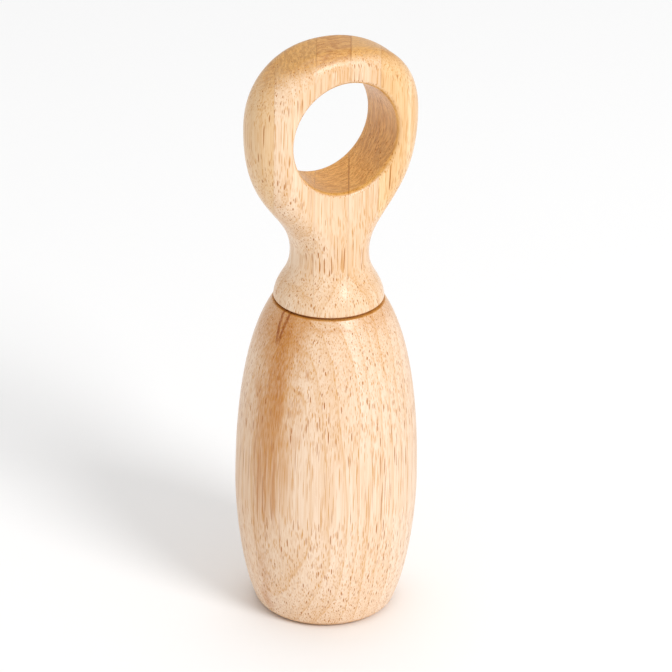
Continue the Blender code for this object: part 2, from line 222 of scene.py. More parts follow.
def makeFigureGroup():
    # growth layers round a far-off pith, their thin dark edges, fine fibre lines,
    # slow patches of tone, and the mottle that end grain shows
    group, taken, given = newGroup("Wood Figure", [
        ("Vector", vector, None), ("Layer mm", number, 4.0)],
        ["Layers", "Edges", "Fibre", "Patches", "Mottle"])
    slow = addNode(group, "TexNoise", {
        "Vector": vectorCalc(group, "MULTIPLY", taken["Vector"], (70, 70, 9)),
        "Scale": 1.0, "Detail": 2.0})
    group.links.new(ramp(group, slow.outputs[0], 0.3, 0.7), given["Patches"])
    level = vectorCalc(group, "MULTIPLY", taken["Vector"], (1, 1, 0.02))
    reach = vectorCalc(group, "LENGTH", level)
    drift = calc(group, "MULTIPLY", slow.outputs[0], 9 * mm)
    reach = calc(group, "ADD", reach, drift)
    turns = calc(group, "DIVIDE", reach, calc(group, "MULTIPLY", taken["Layer mm"], mm))
    saw = calc(group, "FRACT", turns)
    rise = calc(group, "POWER", saw, 2.2)
    fade = ramp(group, saw, 1.0, 0.93)
    group.links.new(calc(group, "MULTIPLY", rise, fade), given["Layers"])
    thin = calc(group, "MULTIPLY", ramp(group, saw, 0.86, 0.95), ramp(group, saw, 1.0, 0.97))
    group.links.new(thin, given["Edges"])
    fine = addNode(group, "TexNoise", {
        "Vector": vectorCalc(group, "MULTIPLY", taken["Vector"], (2200, 2200, 26)),
        "Scale": 1.0, "Detail": 3.0, "Roughness": 0.6})
    group.links.new(ramp(group, fine.outputs[0], 0.36, 0.68), given["Fibre"])
    speckle = addNode(group, "TexNoise", {
        "Vector": vectorCalc(group, "MULTIPLY", taken["Vector"], (420, 1300, 160)),
        "Scale": 1.0, "Detail": 4.0, "Roughness": 0.65})
    group.links.new(ramp(group, speckle.outputs[0], 0.38, 0.62), given["Mottle"])
    return group


def makeGlueGroup():
    # a thin line where a glue plane comes to the surface
    group, taken, given = newGroup("Glue Line", [
        ("Vector", vector, None), ("Across", vector, (1, 0, 0)),
        ("Place mm", number, 0.0), ("Width mm", number, 0.3)], ["Mask"])
    along = vectorCalc(group, "DOT_PRODUCT", taken["Vector"], taken["Across"])
    off = calc(group, "SUBTRACT", calc(group, "DIVIDE", along, mm), taken["Place mm"])
    off = calc(group, "ABSOLUTE", off)
    half = calc(group, "MULTIPLY", taken["Width mm"], 0.5)
    group.links.new(ramp(group, off, taken["Width mm"], calc(group, "MULTIPLY", half, 0.4)),
                    given["Mask"])
    return group


def makeStreakGroup():
    # a streak down a turned side, for grain streaks and for painted shade and painted reflection
    # bands: bearings are degrees round from the front to the left
    group, taken, given = newGroup("Grain Streak And Painted Shade", [
        ("Vector", vector, None), ("Low bearing", number, 70.0), ("High bearing", number, 70.0),
        ("Low mm", number, 90.0), ("High mm", number, 116.0), ("Fade mm", number, 4.0),
        ("Width mm", number, 1.0), ("Wobble mm", number, 0.5)], ["Mask"])
    point = addNode(group, "SeparateXYZ", {0: taken["Vector"]})
    left = calc(group, "MULTIPLY", point.outputs["X"], -1.0)
    front = calc(group, "MULTIPLY", point.outputs["Y"], -1.0)
    bearing = calc(group, "ARCTAN2", left, front)
    height = calc(group, "DIVIDE", point.outputs["Z"], mm)
    way = addNode(group, "MapRange", {
        "Value": height, "From Min": taken["Low mm"], "From Max": taken["High mm"],
        "To Min": taken["Low bearing"], "To Max": taken["High bearing"]}, clamp=False)
    off = calc(group, "SUBTRACT", bearing, calc(group, "RADIANS", way.outputs[0]))
    flat = vectorCalc(group, "LENGTH", vectorCalc(group, "MULTIPLY", taken["Vector"], (1, 1, 0)))
    across = calc(group, "MULTIPLY", off, calc(group, "DIVIDE", flat, mm))
    sway = addNode(group, "TexNoise", {
        "Vector": vectorCalc(group, "MULTIPLY", taken["Vector"], (260, 260, 90)),
        "Scale": 1.0, "Detail": 3.0}).outputs[0]
    sway = calc(group, "MULTIPLY", calc(group, "SUBTRACT", sway, 0.5), taken["Wobble mm"])
    across = calc(group, "ABSOLUTE", calc(group, "ADD", across, calc(group, "MULTIPLY", sway, 2)))
    side = ramp(group, across, taken["Width mm"], calc(group, "MULTIPLY", taken["Width mm"], 0.3))
    under = ramp(group, height, calc(group, "SUBTRACT", taken["Low mm"], taken["Fade mm"]),
                 calc(group, "ADD", taken["Low mm"], taken["Fade mm"]))
    over = ramp(group, height, calc(group, "ADD", taken["High mm"], taken["Fade mm"]),
                calc(group, "SUBTRACT", taken["High mm"], taken["Fade mm"]))
    ends = calc(group, "MULTIPLY", under, over)
    group.links.new(calc(group, "MULTIPLY", side, ends), given["Mask"])
    return group


poreGroup = makePoreGroup()
figureGroup = makeFigureGroup()
glueGroup = makeGlueGroup()
streakGroup = makeStreakGroup()


# Wood finish: look holds the colours, and where in the log this piece was cut

woodLook = dict(
    pale=(0.95, 0.73, 0.53),
    tan=(0.72, 0.39, 0.145),
    pore=(0.42, 0.125, 0.003),
    finePore=(0.60, 0.24, 0.01),
    endGrain=(0.50, 0.21, 0.03),
    endPale=(0.80, 0.43, 0.115),
    # bore and boreShare paint light into the finger hole, lifting its shaded wall to a bright
    # orange; boreDark and boreMottle give that wall a mottled tone
    bore=(0.93, 0.54, 0.15),
    boreDark=(0.46, 0.18, 0.02),
    boreShare=0.78,
    boreMottle=0.72,
    glue=(0.40, 0.15, 0.015),
    fibreShare=0.32,
    layerShare=0.28,
    patchShare=0.24,
    edgeShare=0.08,
    mottleShare=0.75,
    endShare=0.95,
    poreShare=1.0,
    middlePoreShare=0.9,
    finePoreShare=0.75,
    layerWidth=4.6,
    endFrom=0.4,  # how far a face must look up or down before it shows end grain
    endTo=0.95,
    pores={"Across mm": 0.74, "Along mm": 32.0, "Radius": 0.28},
    middlePores={"Across mm": 0.44, "Along mm": 30.0, "Radius": 0.34, "Wander mm": 0.4},
    finePores={"Across mm": 0.44, "Along mm": 13.0, "Radius": 0.33, "Wander mm": 0.3},
    middleShift=(0.013, 0.021, 0.005),  # keeps the middle pores off the others
    boreFade=(0.9, 0.1),  # mm past the hole's edge where its painted light and mottle end and are full
    glueWidth=0.35,
    glueOnEnd=0.7,
    glueOnSide=0.08,
    streakGrain=(0.62, 0.6),  # a streak's share between fibres, and what a fibre adds
    poreRough=0.25,
    patchRough=0.06,
    fibreHeight=0.12,
    finePoreHeight=0.6,
    bumpStrength=0.2,
    bumpDepth=0.05 * mm,
    lean=(1.2, -0.9),  # degrees between the log's axis and the piece's
    roughness=0.34,
    stripes=(),
    shift=(0, 0, 0),
    turn=0.0,
)


def woodMaterial(name, glueAt=(), streaks=(), **changes):
    look = {**woodLook, **changes}
    material = bpy.data.materials.new(name)
    material.use_nodes = True
    tree = material.node_tree
    shader = tree.nodes["Principled BSDF"]
    place = addNode(tree, "TexCoord")
    inLog = addNode(tree, "Mapping", {
        "Vector": place.outputs["Object"], "Location": look["shift"],
        "Rotation": (*map(math.radians, look["lean"]), look["turn"])}).outputs[0]
    figure = useGroup(tree, figureGroup, {"Vector": inLog, "Layer mm": look["layerWidth"]})
    share = calc(tree, "MULTIPLY", figure["Fibre"], look["fibreShare"])
    share = calc(tree, "ADD", share, calc(tree, "MULTIPLY", figure["Layers"], look["layerShare"]))
    share = calc(tree, "ADD", share, calc(tree, "MULTIPLY", figure["Patches"], look["patchShare"]))
    share = calc(tree, "ADD", share, calc(tree, "MULTIPLY", figure["Edges"], look["edgeShare"]))
    colour = blendColour(tree, share, look["pale"], look["tan"])

    facing = addNode(tree, "SeparateXYZ", {0: place.outputs["Normal"]}).outputs["Z"]
    end = ramp(tree, calc(tree, "ABSOLUTE", facing), look["endFrom"], look["endTo"])
    endColour = blendColour(tree, calc(tree, "MULTIPLY", figure["Mottle"], look["mottleShare"]),
                            look["endGrain"], look["endPale"])
    colour = blendColour(tree, calc(tree, "MULTIPLY", end, look["endShare"]), colour, endColour)

    if glueAt:
        # painted light: the finger hole's wall is lifted to a bright mottled orange against the
        # shade that falls inside the hole
        fromBore = vectorCalc(tree, "SUBTRACT", place.outputs["Object"], (0, 0, holeMiddle))
        fromBore = vectorCalc(tree, "MULTIPLY", fromBore, (1, 0, 1))
        reach = calc(tree, "DIVIDE", vectorCalc(tree, "LENGTH", fromBore), mm)
        none, full = [handle["holeRadius"] / mm + past for past in look["boreFade"]]
        paintedBoreLight = calc(tree, "MULTIPLY", ramp(tree, reach, none, full), look["boreShare"])
        boreLightAndMottle = blendColour(tree, calc(tree, "MULTIPLY", figure["Mottle"], look["boreMottle"]),
                                 look["bore"], look["boreDark"])
        colour = blendColour(tree, paintedBoreLight, colour, boreLightAndMottle)
    for at, width, part, tone in look["stripes"]:
        layer = useGroup(tree, glueGroup, {"Vector": place.outputs["Object"], "Place mm": at,
                                           "Across": handle["glueAcross"], "Width mm": width})
        colour = blendColour(tree, calc(tree, "MULTIPLY", layer["Mask"], part), colour, tone)
    between, added = look["streakGrain"]
    grainy = calc(tree, "ADD", between, calc(tree, "MULTIPLY", figure["Fibre"], added))
    # streaks: grain streaks, plus painted shade and painted reflection bands on the head
    for streak in streaks:
        mask = useGroup(tree, streakGroup, {"Vector": place.outputs["Object"], **streak["at"]})
        part = calc(tree, "MULTIPLY", calc(tree, "MULTIPLY", mask["Mask"], streak["share"]), grainy)
        colour = blendColour(tree, part, colour, streak["colour"])

    pores = useGroup(tree, poreGroup, {"Vector": inLog, **look["pores"]})
    besideLog = vectorCalc(tree, "ADD", inLog, look["middleShift"])
    middlePores = useGroup(tree, poreGroup, {"Vector": besideLog, **look["middlePores"]})
    finePores = useGroup(tree, poreGroup, {"Vector": inLog, **look["finePores"]})
    poreMask = calc(tree, "MULTIPLY", pores["Mask"],
                    calc(tree, "MULTIPLY", pores["Depth"], look["poreShare"]))
    middleMask = calc(tree, "MULTIPLY", middlePores["Mask"],
                      calc(tree, "MULTIPLY", middlePores["Depth"], look["middlePoreShare"]))
    fineMask = calc(tree, "MULTIPLY", finePores["Mask"],
                    calc(tree, "MULTIPLY", finePores["Depth"], look["finePoreShare"]))
    colour = blendColour(tree, fineMask, colour, look["finePore"])
    colour = blendColour(tree, middleMask, colour, look["finePore"])
    colour = blendColour(tree, poreMask, colour, look["pore"])
    for at, seen in glueAt:
        line = useGroup(tree, glueGroup, {"Vector": place.outputs["Object"],
                                          "Across": handle["glueAcross"], "Place mm": at,
                                          "Width mm": look["glueWidth"]})
        strength = calc(tree, "ADD", calc(tree, "MULTIPLY", end, look["glueOnEnd"] * seen),
                        look["glueOnSide"] * seen)
        colour = blendColour(tree, calc(tree, "MULTIPLY", line["Mask"], strength),
                             colour, look["glue"])
    tree.links.new(colour, shader.inputs["Base Color"])

    rough = calc(tree, "ADD", look["roughness"],
                 calc(tree, "MULTIPLY", poreMask, look["poreRough"]))
    rough = calc(tree, "ADD", rough,
                 calc(tree, "MULTIPLY", figure["Patches"], look["patchRough"]))
    tree.links.new(rough, shader.inputs["Roughness"])
    sunk = calc(tree, "ADD", poreMask, calc(tree, "MULTIPLY", fineMask, look["finePoreHeight"]))
    height = calc(tree, "SUBTRACT",
                  calc(tree, "MULTIPLY", figure["Fibre"], look["fibreHeight"]), sunk)
    bump = addNode(tree, "Bump", {"Height": height, "Strength": look["bumpStrength"],
                                  "Distance": look["bumpDepth"]})
    tree.links.new(bump.outputs[0], shader.inputs["Normal"])
    shader.inputs["Coat Weight"].default_value = 0.3
    shader.inputs["Coat Roughness"].default_value = 0.19
    shader.inputs["Specular IOR Level"].default_value = 0.3
    return material


# Head

head = dict(
    height=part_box("barrel_head")[1].z,
    bellyRadius=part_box("barrel_head")[1].x,
    bellyHeight=47.4 * mm,
    footRadius=23.4 * mm,
    footRounding=4.5 * mm,
    footLean=math.radians(28.5),
    footPull=13.7 * mm,
    bellyPullDown=9.0 * mm,
    bellyPullUp=36.3 * mm,
    shoulderRadius=19.3 * mm,
    shoulderLean=math.radians(33),
    shoulderPull=13.5 * mm,
    shoulderRounding=0.5 * mm,
    recessRadius=9.5 * mm,
    recessDepth=1.8 * mm,
    boreRadius=7.8 * mm,
    boreDepth=17.5 * mm,
)


def streakAt(lowBearing, highBearing, low, high, width, wobble, share, colour, fade):
    at = {"Low bearing": lowBearing, "High bearing": highBearing, "Low mm": low,
          "High mm": high, "Width mm": width, "Wobble mm": wobble, "Fade mm": fade}
    return dict(at=at, share=share, colour=colour)


amber, russet, umber = (0.58, 0.22, 0.025), (0.50, 0.165, 0.012), (0.33, 0.08, 0.003)
# degrees and mm, in the order that streakAt takes them
# grain streaks, with painted shade down the sides and painted reflections of the collar just under
# the seam
headStreaksAndShade = [
    # painted shade: a broad darker band down the head's left side, away from the key light
    streakAt(86.0, 82.0, 20.0, 118.0, 26.0, 4.0, 0.30, (0.70, 0.42, 0.20), 12.0),
    # painted shade: a darker band along the head's right-hand edge as seen
    streakAt(-68.0, -66.0, 10.0, 118.0, 9.0, 3.0, 0.45, (0.74, 0.44, 0.21), 12.0),
    streakAt(84.0, 84.0, 104.0, 118.0, 20.0, 4.0, 0.62, amber, 8.0),
    # painted reflection of the collar's underside: an amber band on the head just under the seam,
    # on the right
    streakAt(-36.0, -36.0, 112.0, 118.0, 17.0, 3.0, 0.35, amber, 3.5),
    streakAt(67.0, 69.0, 60.0, 118.0, 12.0, 7.0, 0.64, amber, 22.0),
    streakAt(71.0, 68.0, 40.0, 90.0, 5.5, 4.0, 0.40, amber, 12.0),
    streakAt(64.0, 68.0, 82.0, 118.0, 3.2, 4.0, 0.50, russet, 9.0),
    streakAt(74.5, 80.0, 107.0, 118.0, 0.85, 0.8, 1.0, umber, 2.0),
    streakAt(72.5, 70.3, 107.5, 118.0, 0.75, 0.8, 1.0, umber, 2.0),
    streakAt(72.5, 73.5, 90.0, 101.0, 1.1, 1.2, 0.45, russet, 6.0),
    streakAt(76.0, 75.0, 42.0, 66.0, 0.8, 1.5, 0.6, russet, 5.0),
    streakAt(62.0, 63.0, 42.0, 68.0, 1.2, 1.5, 0.5, russet, 6.0),
    streakAt(43.0, 43.0, 98.5, 100.5, 0.9, 0.5, 0.8, russet, 1.5),
    streakAt(80.0, 79.5, 34.0, 84.0, 0.6, 1.5, 0.5, russet, 6.0),
    streakAt(69.5, 70.0, 36.0, 72.0, 0.5, 1.5, 0.5, russet, 6.0),
    streakAt(58.0, 58.0, 30.0, 60.0, 0.45, 1.2, 0.4, russet, 6.0),
    streakAt(74.0, 75.0, 10.0, 28.0, 5.0, 6.0, 0.35, russet, 8.0),
    streakAt(77.0, 79.0, 4.0, 11.0, 3.5, 3.0, 0.5, russet, 3.0),
    # painted reflection of the collar's edge: a thin amber band just under the seam, at the front
    streakAt(23.0, 23.0, 113.0, 114.5, 9.5, 2.0, 0.35, amber, 1.0),
]


def roundedCorner(outline, corner, radius, steps):
    before, at, after = outline[corner - 1:corner + 2]
    toBefore, toAfter = (before - at).normalized(), (after - at).normalized()
    half = toBefore.angle(toAfter) / 2
    reach = radius / math.tan(half)
    lead = [p for p in outline[:corner] if (p - at).length > reach]
    trail = [p for p in outline[corner + 1:] if (p - at).length > reach]
    centre = at + (toBefore + toAfter).normalized() * radius / math.sin(half)
    start = at + toBefore * reach - centre
    end = at + toAfter * reach - centre
    turn = start.angle_signed(end)
    arc = [centre + Matrix.Rotation(-turn * i / steps, 2) @ start for i in range(steps + 1)]
    return lead + arc + trail


def makeHead():
    belly = Vector((head["bellyRadius"], head["bellyHeight"]))
    top = Vector((head["shoulderRadius"], head["height"]))
    foot = Vector((head["footRadius"], 0))
    upper = softCurve(belly, head["bellyPullUp"], 0, top, head["shoulderPull"],
                      head["shoulderLean"], 60)
    lower = softCurve(foot, head["footPull"], -head["footLean"], belly,
                      head["bellyPullDown"], 0, 50)
    side = list(reversed(upper)) + list(reversed(lower))[1:]
    recess = head["height"] - head["recessDepth"]
    bore = [Vector((0, head["height"] - head["boreDepth"])),
            Vector((head["boreRadius"], head["height"] - head["boreDepth"])),
            Vector((head["boreRadius"], recess)),
            Vector((head["recessRadius"], recess)),
            Vector((head["recessRadius"], head["height"]))]
    outline = bore + side + [Vector((0, 0))]
    outline = roundedCorner(outline, len(outline) - 2, head["footRounding"], 20)
    outline = roundedCorner(outline, len(bore), head["shoulderRounding"], 6)
    return newPiece("turned_head", turned("turned_head", outline))


# Handle

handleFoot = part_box("stave_centre")[0].z
handle = dict(
    collarRadius=19.0 * mm,
    collarRounding=0.7 * mm,
    collarPull=7.0 * mm,
    collarLean=math.radians(6),
    neckRadius=13.49 * mm,
    neckRise=17.3 * mm,
    neckPullDown=8.5 * mm,
    neckPullUp=16.4 * mm,
    ringRadius=31.37 * mm,
    crownRise=27.56 * mm,
    crownRounding=6.5 * mm,
    crownFullness=2.21,  # 2 is an ellipse, more gives squarer shoulders
    ringPull=31.1 * mm,
    ringThickness=23.65 * mm,
    rimFlat=0.6 * mm,
    faceRise=40.0 * mm,
    holeRadius=19.5 * mm,
    holeDrop=2.7 * mm,
    holeRounding=1.9 * mm,
    holeFlare=math.radians(78),  # the edge is rounded this far, then runs out straight
    gluePlanes=(-18.7, -5.2, 6.2, 16.2),
    glueSeen=(0.12, 0.3, 0.85, 0.12),  # how clearly each line shows
    glueGap=0.03 * mm,
    cheekRise=23.0 * mm,
    boltHole=4.2 * mm,
    boltHoleDepth=30 * mm,
)
glueAngle = math.radians(-28)
inside = 0.001 * mm  # keeps rounding error within the modelled size
handle["ringRise"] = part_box("stave_crown")[1].z - handleFoot - handle["crownRise"] - inside
handle["sideRounding"] = (handle["ringThickness"] - handle["rimFlat"]) / 2
holeMiddle = handleFoot + handle["ringRise"] - handle["holeDrop"]
handle["glueAcross"] = (math.cos(glueAngle), math.sin(glueAngle), 0)
quarterSteps = 24


def handleOutline():
    corner = []
    for i in range(7):
        angle = -math.pi / 2 + math.pi / 2 * i / 6
        corner.append(Vector((
            handle["collarRadius"] - handle["collarRounding"] * (1 - math.cos(angle)),
            handle["collarRounding"] * (1 + math.sin(angle)))))
    neck = Vector((handle["neckRadius"], handle["neckRise"]))
    ring = Vector((handle["ringRadius"], handle["ringRise"]))
    flare = softCurve(corner[-1], handle["collarPull"], handle["collarLean"], neck,
                      handle["neckPullDown"], 0, 26)
    shoulder = softCurve(neck, handle["neckPullUp"], 0, ring, handle["ringPull"], 0, 50)
    return corner + flare[1:] + shoulder[1:]


def sectionLoop(bm, halfWidth, height):
    # a circle up to the neck, easing into a rounded slab at the ring
    share = (height - handle["neckRise"]) / (handle["faceRise"] - handle["neckRise"])
    share = min(max(share, 0), 1)
    flat = share * share * (3 - 2 * share)
    halfDepth = min(halfWidth, handle["neckRadius"]) if share > 0 else halfWidth
    halfDepth += (handle["ringThickness"] / 2 - halfDepth) * flat
    corner = min(halfWidth, halfDepth)
    corner += (handle["sideRounding"] - corner) * flat
    loop = []
    across = [i / 8 for i in range(-8, 9)]
    for side in (-1, 1):
        arc = []
        for i in range(quarterSteps * 2):
            angle = math.pi * (i + 0.5) / (quarterSteps * 2) - math.pi / 2
            x = halfWidth - corner + corner * math.cos(angle)
            y = math.copysign(halfDepth - corner, math.sin(angle)) + corner * math.sin(angle)
            arc.append((-side * x, -side * y))
        loop += arc
        flatX = arc[-1][0]
        loop += [(flatX * -t, arc[-1][1]) for t in across[1:-1]]
    verts = [bm.verts.new((x, y, height)) for x, y in loop]
    return verts, [bm.edges.new((verts[i - 1], verts[i])) for i in range(len(verts))]


def rimInset(depth, rounding):
    over = max(abs(depth) - (handle["ringThickness"] / 2 - rounding), 0)
    return rounding - math.sqrt(max(rounding * rounding - over * over, 0))


def shapeCrown(bm):
    # squarer shoulders, and a tighter rounding on top than at the sides
    side = handle["sideRounding"]
    power = handle["crownFullness"]
    for vert in bm.verts:
        out = Vector((vert.co.x, vert.co.z - handle["ringRise"]))
        if out.y < 0.003 * mm:
            continue
        reach = out.length
        across, rise = abs(out.x) / reach, out.y / reach
        rounding = side + (handle["crownRounding"] - side) * rise * rise
        if reach > handle["ringRadius"] - side:
            reach += rimInset(vert.co.y, side) - rimInset(vert.co.y, rounding)
        lift = rise * handle["ringRadius"] / handle["crownRise"]
        place = out.normalized() * reach * (across ** power + lift ** power) ** (-1 / power)
        vert.co.x, vert.co.z = place.x, handle["ringRise"] + place.y


def makeHandleBlank():
    bm = bmesh.new()
    sections = [sectionLoop(bm, x, z) for x, z in handleOutline()]
    for (_, below), (_, above) in zip(sections, sections[1:]):
        bmesh.ops.bridge_loops(bm, edges=below + above)
    bmesh.ops.edgeloop_fill(bm, edges=sections[0][1])
    topVerts, topEdges = sections[-1]
    rightEdges = [e for e in topEdges if all(v.co.x > -0.01 * mm for v in e.verts)]
    rightVerts = list({v for e in rightEdges for v in e.verts})
    spun = bmesh.ops.duplicate(bm, geom=rightVerts + rightEdges)["geom"]
    bmesh.ops.spin(bm, geom=spun, cent=(0, 0, handle["ringRise"]), axis=(0, -1, 0),
                   angle=math.pi, steps=120)
    bmesh.ops.remove_doubles(bm, verts=bm.verts, dist=0.005 * mm)
    shapeCrown(bm)
    return meshOf(bm, "handle_blank")


def makeHolePlug():
    depth = handle["ringThickness"] / 2
    rounding = handle["holeRounding"]
    outer = []
    for i in range(13):
        angle = handle["holeFlare"] * i / 12
        outer.append(Vector((handle["holeRadius"] + rounding * (1 - math.cos(angle)),
                             depth - rounding * (1 - math.sin(angle)))))
    lean = handle["holeFlare"]
    outer.append(outer[-1] + 4 * mm * Vector((math.sin(lean), math.cos(lean))))
    side = [(x, y) for x, y in reversed(outer)] + [(x, -y) for x, y in outer]
    mesh = turned("finger_hole", [(0, side[0][1])] + side + [(0, side[-1][1])])
    middle = (0, 0, handle["ringRise"] - handle["holeDrop"])
    mesh.transform(Matrix.Translation(middle) @ Matrix.Rotation(math.pi / 2, 4, "X"))
    return newPiece("finger_hole", mesh)


def keepSide(bm, point, normal):
    # drops what lies in front of a plane and closes the cut
    geom = list(bm.verts) + list(bm.edges) + list(bm.faces)
    cut = bmesh.ops.bisect_plane(bm, geom=geom, plane_co=point, plane_no=normal,
                                 clear_outer=True)
    rim = [e for e in cut["geom_cut"] if isinstance(e, bmesh.types.BMEdge)]
    bmesh.ops.holes_fill(bm, edges=rim, sides=0)


def cheekBlock(name, outwards, at):
    # the room taken by a cheek: everything beyond a glue plane, above the cheek's foot
    bm = bmesh.new()
    half = 60 * mm  # well past the handle
    bmesh.ops.create_cube(bm, size=2 * half)
    mesh = meshOf(bm, name)
    reach = half + at * mm * outwards - handle["glueGap"] / 2
    mesh.transform(Matrix.Translation((reach * outwards, 0, 0)))
    mesh.transform(Matrix.Rotation(glueAngle, 4, "Z"))
    rise = handleFoot + handle["cheekRise"] - handle["glueGap"] + half
    mesh.transform(Matrix.Translation((0, 0, rise)))
    return newPiece(name, mesh)


def makeStave(name, blank, low=None, high=None, above=None, below=None):
    # the part of the blank between two glue planes, and between two levels
    bm = bmesh.new()
    bm.from_mesh(blank)
    across = Vector(handle["glueAcross"])
    gap = handle["glueGap"] / 2
    if low is not None:
        keepSide(bm, across * (low * mm + gap), -across)
    if high is not None:
        keepSide(bm, across * (high * mm - gap), across)
    if above is not None:
        keepSide(bm, (0, 0, above), (0, 0, -1))
    if below is not None:
        keepSide(bm, (0, 0, below), (0, 0, 1))
    return newPiece(name, meshOf(bm, name))


# Hardware

hardware = dict(
    boltRadius=4.0 * mm,
    boltRoot=3.3 * mm,
    boltPitch=1.25 * mm,
    boltEngaged=12.5 * mm,
    shankLength=3.5 * mm,
    woodRoot=2.7 * mm,
    woodPitch=3.0 * mm,
    woodLength=21.0 * mm,
    tipLength=5.0 * mm,
    insertRadius=7.5 * mm,
    insertRoot=6.4 * mm,
    insertPitch=3.0 * mm,
    flangeRadius=9.2 * mm,
    flangeThickness=1.4 * mm,
    mouth=0.45 * mm,
    threadGap=0.15 * mm,
    sunk=0.1 * mm,  # a core's surface lies this far under its thread's root
    machineRidge=(0.85 * mm, 0.17 * mm),  # widths at root and crest
    tapRidge=(1.1 * mm, 0.4 * mm),
    woodRidge=(1.26 * mm, 0.3 * mm),
    insertRidge=(1.5 * mm, 0.3 * mm),
    washerBore=9.6 * mm,
    washerEdge=0.12 * mm,
)


def makeBolt():
    h = hardware
    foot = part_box("hanger_bolt")[0].z
    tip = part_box("hanger_bolt")[1].z
    shankTop = handleFoot + h["shankLength"]
    woodTop = shankTop + h["woodLength"]
    core = newPiece("hanger_bolt_shown", turned("bolt_core", [
        (0, tip), (h["woodRoot"] - h["sunk"], woodTop - 0.2 * mm),
        (h["woodRoot"] - h["sunk"], shankTop), (h["boltRadius"], shankTop - 0.4 * mm),
        (h["boltRadius"], handleFoot + 0.4 * mm), (h["boltRoot"] - h["sunk"], handleFoot),
        (h["boltRoot"] - h["sunk"], foot + 0.6 * mm), (h["boltRoot"] - 0.7 * mm, foot),
        (0, foot)], 48))
    machine = newPiece("machine_thread", screwThread(
        "machine_thread", h["boltRoot"], h["boltRadius"], h["boltPitch"],
        foot + 0.55 * mm, handleFoot + 0.2 * mm, *h["machineRidge"]))
    wood = newPiece("wood_thread", screwThread(
        "wood_thread", h["woodRoot"], h["boltRadius"], h["woodPitch"],
        shankTop - 0.2 * mm, woodTop - 0.3 * mm, *h["woodRidge"]))
    combine(core, machine, "UNION")
    combine(core, wood, "UNION")
    core.data.set_sharp_from_angle(angle=math.radians(30))
    return core


def makeInsert():
    h = hardware
    low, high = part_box("threaded_insert")
    under = high.z - h["flangeThickness"]
    body = newPiece("threaded_insert_shown", turned("insert_body", [
        (0, high.z), (h["flangeRadius"] - 0.3 * mm, high.z),
        (h["flangeRadius"], high.z - 0.3 * mm), (h["flangeRadius"], under),
        (h["insertRoot"], under), (h["insertRoot"], low.z), (0, low.z)], 96))
    outer = newPiece("outer_thread", screwThread(
        "outer_thread", h["insertRoot"] - h["sunk"], h["insertRadius"], h["insertPitch"],
        low.z + 0.2 * mm, under - 0.8 * mm, *h["insertRidge"]))
    tap = newPiece("tapped_bore", screwThread(
        "tapped_bore", h["boltRoot"] + h["threadGap"], h["boltRadius"] + h["threadGap"],
        h["boltPitch"], low.z - 2 * mm, high.z + 2 * mm, *h["tapRidge"]))
    bell = h["boltRadius"] + h["mouth"]
    mouths = newPiece("bore_mouths", turned("bore_mouths", [
        (0, high.z + 1 * mm), (bell + 1 * mm, high.z + 1 * mm),
        (h["boltRoot"], high.z - h["mouth"] - 0.7 * mm), (0, high.z - 3 * mm)], 96))
    combine(body, outer, "UNION")
    combine(body, tap, "DIFFERENCE")
    combine(body, mouths, "DIFFERENCE")
    body.data.set_sharp_from_angle(angle=math.radians(30))
    return body


def makeWasher():
    low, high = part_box("seam_washer")
    outer, inner, edge = high.x, hardware["washerBore"], hardware["washerEdge"]
    outline = [(inner, low.z), (inner, high.z), (outer - edge, high.z),
               (outer, high.z - edge), (outer, low.z + edge), (outer - edge, low.z),
               (inner, low.z)]
    return newPiece("seam_washer_shown", turned("seam_washer", outline))


def plainMaterial(name, look):
    # a machined or moulded surface with fine wear
    material = bpy.data.materials.new(name)
    material.use_nodes = True
    tree = material.node_tree
    shader = tree.nodes["Principled BSDF"]
    place = addNode(tree, "TexCoord").outputs["Object"]
    grain = addNode(tree, "TexNoise", {
        "Vector": vectorCalc(tree, "MULTIPLY", place, look["grain"]), "Scale": 1.0,
        "Detail": 4.0}).outputs[0]
    spots = addNode(tree, "TexNoise", {"Vector": place, "Scale": 260.0, "Detail": 3.0}).outputs[0]
    colour = blendColour(tree, ramp(tree, spots, 0.4, 0.7), look["colour"], look["worn"])
    tree.links.new(colour, shader.inputs["Base Color"])
    tree.links.new(ramp(tree, grain, 0.3, 0.7, look["smooth"], look["rough"]),
                   shader.inputs["Roughness"])
    bump = addNode(tree, "Bump", {"Height": grain, "Strength": 0.3, "Distance": 0.02 * mm})
    tree.links.new(bump.outputs[0], shader.inputs["Normal"])
    shader.inputs["Metallic"].default_value = look["metallic"]
    return material


# Build the pieces

headPiece = makeHead()
headWood = woodMaterial("head_wood", streaks=headStreaksAndShade, shift=(0.055, 0.070, 0), turn=0.4,
                        edgeShare=0.17, pale=(0.95, 0.745, 0.57))
finishPiece(headPiece, headWood, "head", "barrel_head")
print("head: turned")

blankPiece = newPiece("handle_blank", makeHandleBlank())
combine(blankPiece, makeHolePlug(), "DIFFERENCE")
boltHole = newPiece("bolt_hole", turned("bolt_hole", [
    (0, handle["boltHoleDepth"]), (handle["boltHole"], handle["boltHoleDepth"]),
    (handle["boltHole"], -5 * mm), (0, -5 * mm)], 48))
combine(blankPiece, boltHole, "DIFFERENCE")
blankPiece.data.transform(Matrix.Translation((0, 0, handleFoot)))
print("handle: blank shaped, bored and cut")

